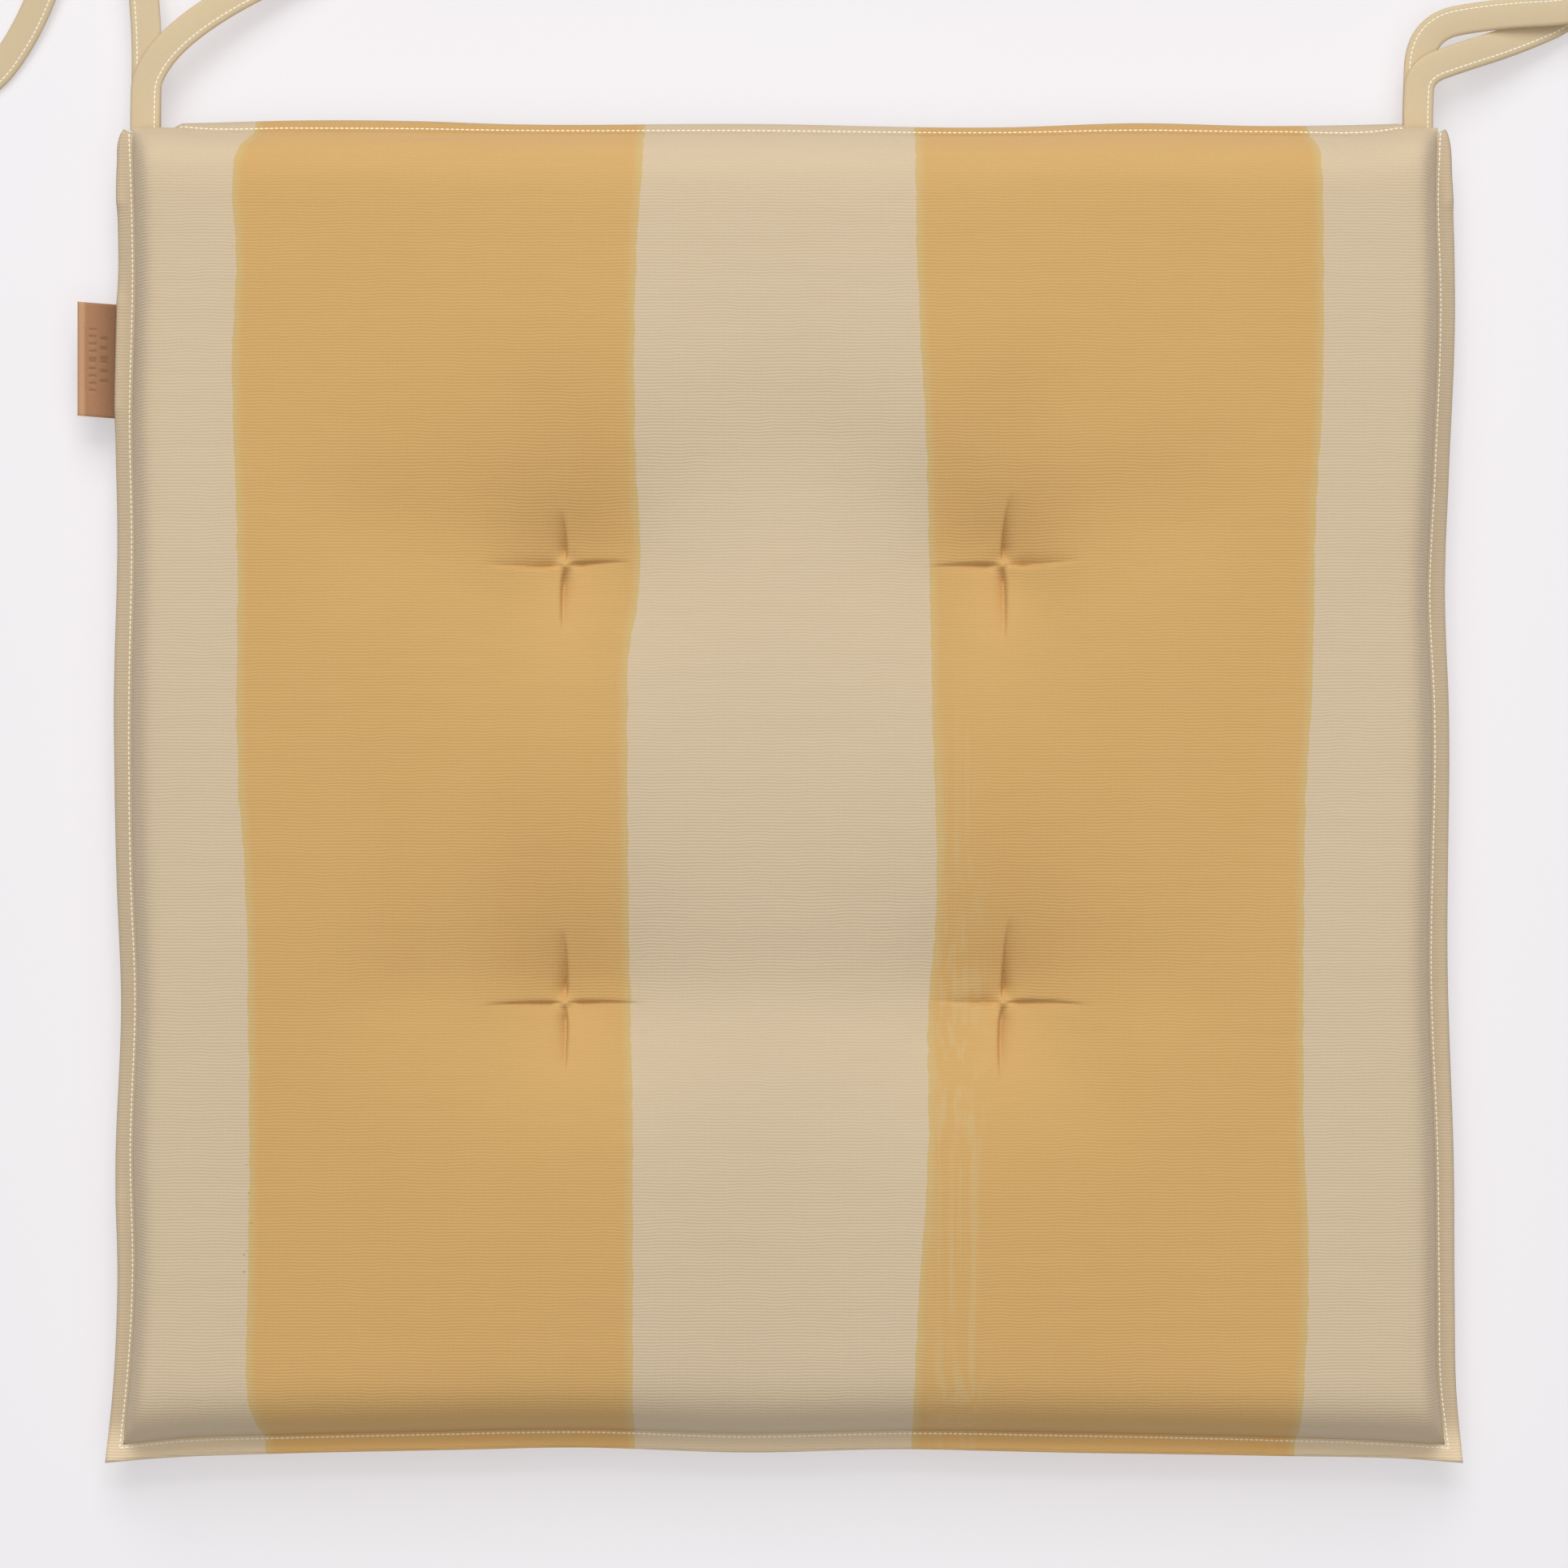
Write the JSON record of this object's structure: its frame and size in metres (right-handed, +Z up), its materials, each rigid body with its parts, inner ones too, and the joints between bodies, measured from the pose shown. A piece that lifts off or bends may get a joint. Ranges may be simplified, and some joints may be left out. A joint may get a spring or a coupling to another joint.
{
  "type": "chair seat pad",
  "caption": "Square tufted canvas chair seat pad with painted stripes, a stitched flange, a leather edge label and fabric ties at the back corners.",
  "frame": {"origin": "centre of the flat underside, on the surface the pad lies on", "axes": "+Z up through the pad, +Y to the back edge that carries the ties, +X to the right seen from above"},
  "size_m": [0.54, 0.4794, 0.04],
  "materials": {
    "canvas_top": "matte",
    "canvas_underside": "matte",
    "foam": "matte",
    "wadding": "matte",
    "thread": "matte",
    "tie_tape": "matte",
    "label_leather": "matte"
  },
  "bodies": {
    "pad": {"top_panel": "canvas_top", "bottom_panel": "canvas_underside", "foam_core": "foam", "top_wadding": "wadding", "bottom_wadding": "wadding", "edge_topstitch": "thread", "edge_bobbin_thread": "thread", "left_tie_fold": "tie_tape", "right_tie_fold": "tie_tape", "label_root_upper": "label_leather", "label_root_lower": "label_leather", "tuft_thread_front_left": "thread", "tuft_thread_front_right": "thread", "tuft_thread_back_left": "thread", "tuft_thread_back_right": "thread"},
    "label_flap": {"label": "label_leather"},
    "left_ties": {"left_tie_inner": "tie_tape", "left_tie_outer": "tie_tape", "left_tie_inner_stitch": "thread", "left_tie_outer_stitch": "thread"},
    "right_ties": {"right_tie_inner": "tie_tape", "right_tie_outer": "tie_tape", "right_tie_inner_stitch": "thread", "right_tie_outer_stitch": "thread"}
  },
  "joints": [
    {"name": "label_bend", "type": "hinge", "parent": "pad", "child": "label_flap", "pos_m": [-0.2014, 0.126, 0.0122], "axis": [0, 1, 0], "range_deg": [-40, 85], "stiffness_Nm_per_rad": 0.004},
    {"name": "left_ties_lift", "type": "hinge", "parent": "pad", "child": "left_ties", "pos_m": [-0.191, 0.2026, 0.0114], "axis": [1, 0, 0], "range_deg": [0, 90]},
    {"name": "right_ties_lift", "type": "hinge", "parent": "pad", "child": "right_ties", "pos_m": [0.1896, 0.2026, 0.0114], "axis": [1, 0, 0], "range_deg": [0, 90]}
  ]
}
